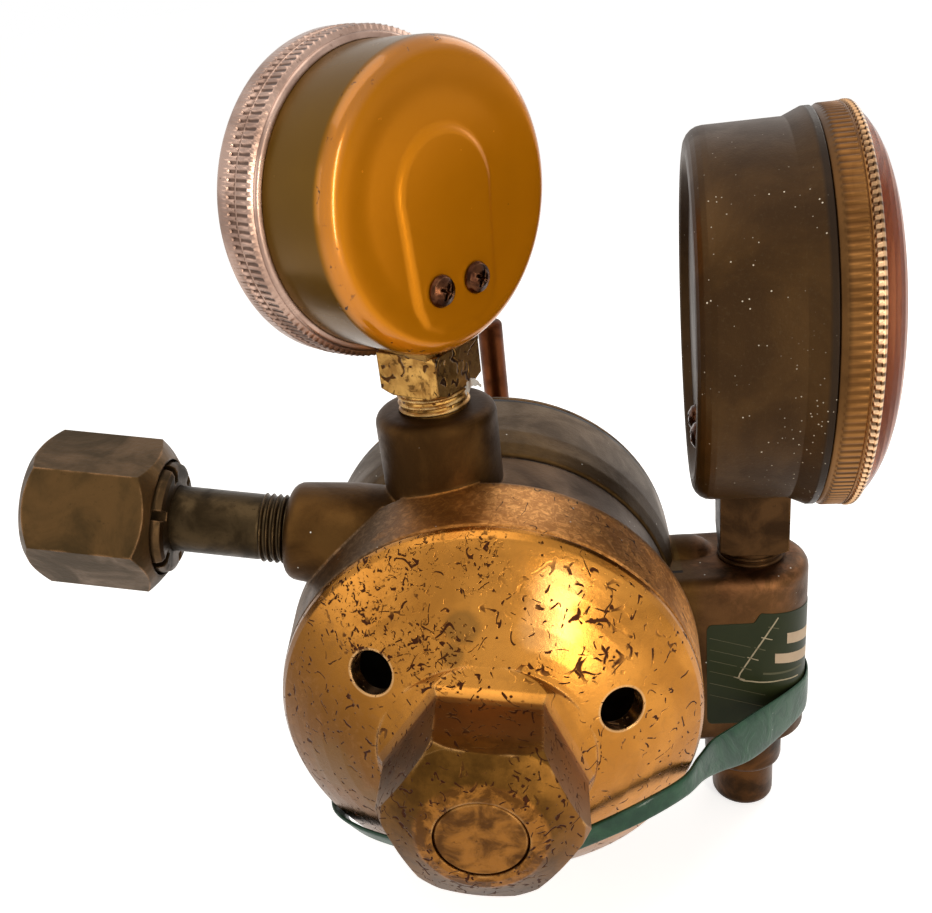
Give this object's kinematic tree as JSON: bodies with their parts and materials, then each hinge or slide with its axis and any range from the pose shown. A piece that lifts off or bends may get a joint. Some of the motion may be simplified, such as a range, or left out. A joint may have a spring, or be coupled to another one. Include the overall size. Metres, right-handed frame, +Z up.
{
  "type": "two-stage gas pressure regulator",
  "caption": "Two-stage pressure regulator for a gas cylinder, with domed bonnets, a T-handle, an inlet union nut, a cylinder gauge and a delivery gauge.",
  "frame": {"origin": "middle of the inlet nut's mouth, where the regulator meets the cylinder valve", "axes": "+Z up along the gauge stems, -Y out of the preset first-stage bonnet and +Y out of the T-handle, +X from the inlet towards the outlet"},
  "size_m": [0.1782, 0.1601, 0.1882],
  "materials": {
    "aged_brass": "dark tarnished brass with dust",
    "golden_brass": "scratched and pitted golden brass",
    "brown_brass": "brown tarnished brass",
    "copper_brass": "reddish worn brass",
    "new_brass": "clean brass, inside",
    "spring_steel": "oiled spring steel",
    "steel": "clean steel",
    "brown_steel": "browned steel",
    "nickel": "knurled plated ring",
    "ochre_enamel": "glossy ochre enamel, chipped at the edges",
    "brown_case": "dark brown satin paint with dust",
    "clear_lens": "clear window",
    "amber_lens": "domed window, reddish brown",
    "dial_white": "printed dial left bare of text",
    "needle_black": "black needle",
    "green_vinyl": "glossy green vinyl",
    "black_rubber": "fabric-reinforced rubber"
  },
  "bodies": {
    "regulator": {"body": "aged_brass", "preset_bonnet": "golden_brass", "preset_screw": "golden_brass", "preset_button": "new_brass", "preset_spring": "spring_steel", "preset_slip_ring": "steel", "preset_diaphragm": "steel", "first_nozzle": "new_brass", "first_valve_spring": "spring_steel", "delivery_bonnet": "aged_brass", "delivery_spring": "spring_steel", "delivery_slip_ring": "steel", "delivery_diaphragm": "black_rubber", "second_nozzle": "new_brass", "second_valve_spring": "spring_steel", "inlet_nipple": "aged_brass", "inlet_filter": "new_brass", "outlet_fitting": "copper_brass", "green_strap": "green_vinyl", "high_socket": "golden_brass", "high_case": "ochre_enamel", "high_screws": "brown_steel", "high_bezel": "nickel", "high_lens": "clear_lens", "high_dial": "dial_white", "high_movement": "new_brass", "high_bourdon": "new_brass", "high_link": "steel", "low_socket": "aged_brass", "low_case": "brown_case", "low_screws": "brown_steel", "low_bezel": "brown_brass", "low_lens": "amber_lens", "low_dial": "dial_white", "low_movement": "new_brass", "low_bourdon": "new_brass", "low_link": "steel"},
    "first_stage_plate": {"preset_plate": "new_brass"},
    "first_stage_poppet": {"first_valve": "steel"},
    "delivery_stage_plate": {"delivery_plate": "new_brass"},
    "delivery_stage_poppet": {"second_valve": "steel"},
    "spring_button": {"delivery_button": "new_brass"},
    "t_handle": {"adjusting_screw": "brown_steel", "handle_bar": "brown_steel"},
    "nut_collar": {"inlet_collar": "aged_brass"},
    "union_nut": {"inlet_nut": "brown_brass"},
    "cylinder_gauge_needle": {"high_pointer": "needle_black"},
    "cylinder_gauge_quadrant": {"high_sector": "new_brass"},
    "delivery_gauge_needle": {"low_pointer": "needle_black"},
    "delivery_gauge_quadrant": {"low_sector": "new_brass"}
  },
  "joints": [
    {"name": "inlet_nut_slide", "type": "slide", "parent": "regulator", "child": "nut_collar", "axis": [0.982, 0, -0.1891], "range_m": [0, 0.012]},
    {"name": "inlet_nut_spin", "type": "hinge", "parent": "nut_collar", "child": "union_nut", "pos_m": [0, 0, 0], "axis": [-0.982, 0, 0.1891], "continuous": true},
    {"name": "spring_button_slide", "type": "slide", "parent": "regulator", "child": "spring_button", "axis": [0, -1, 0], "range_m": [0, 0.007], "deforming": ["delivery_spring"]},
    {"name": "t_handle_turn", "type": "hinge", "parent": "spring_button", "child": "t_handle", "pos_m": [0.09289, 0.0913, -0.04319], "axis": [0, -1, 0], "range_deg": [0, 1289]},
    {"name": "first_plate_slide", "type": "slide", "parent": "regulator", "child": "first_stage_plate", "axis": [0, 1, 0], "range_m": [-0.0007, 0], "deforming": ["preset_spring", "preset_diaphragm"]},
    {"name": "first_poppet_slide", "type": "slide", "parent": "regulator", "child": "first_stage_poppet", "axis": [0, 1, 0], "range_m": [-0.0007, 0], "deforming": ["first_valve_spring"]},
    {"name": "delivery_plate_slide", "type": "slide", "parent": "regulator", "child": "delivery_stage_plate", "axis": [0, -1, 0], "range_m": [0, 0.0007], "deforming": ["delivery_spring", "delivery_diaphragm"]},
    {"name": "delivery_poppet_slide", "type": "slide", "parent": "regulator", "child": "delivery_stage_poppet", "axis": [0, -1, 0], "range_m": [0, 0.0007], "deforming": ["second_valve_spring"]},
    {"name": "cylinder_needle_turn", "type": "hinge", "parent": "regulator", "child": "cylinder_gauge_needle", "pos_m": [0.08659, 0.0044, 0.05451], "axis": [0.7581, -0.6521, 0], "range_deg": [0, 270], "stiffness_Nm_per_rad": 0.0004},
    {"name": "cylinder_quadrant_turn", "type": "hinge", "parent": "regulator", "child": "cylinder_gauge_quadrant", "pos_m": [0.08659, 0.0044, 0.04451], "axis": [0.7581, -0.6521, 0], "range_deg": [-30, 0], "deforming": ["high_link", "high_bourdon"]},
    {"name": "delivery_needle_turn", "type": "hinge", "parent": "regulator", "child": "delivery_gauge_needle", "pos_m": [0.15119, 0.0202, 0.02121], "axis": [-0.9972, 0.075, 0], "range_deg": [0, 270], "stiffness_Nm_per_rad": 0.0004},
    {"name": "delivery_quadrant_turn", "type": "hinge", "parent": "regulator", "child": "delivery_gauge_quadrant", "pos_m": [0.15119, 0.0202, 0.01121], "axis": [-0.9972, 0.075, 0], "range_deg": [-30, 0], "deforming": ["low_link", "low_bourdon"]}
  ],
  "couplings": [
    {"joint": "spring_button_slide", "follows": "t_handle_turn", "m_per_rad": 0.00031096},
    {"joint": "first_poppet_slide", "follows": "first_plate_slide", "ratio": 1},
    {"joint": "delivery_poppet_slide", "follows": "delivery_plate_slide", "ratio": 1},
    {"joint": "cylinder_quadrant_turn", "follows": "cylinder_needle_turn", "ratio": -0.11111},
    {"joint": "delivery_quadrant_turn", "follows": "delivery_needle_turn", "ratio": -0.11111}
  ]
}
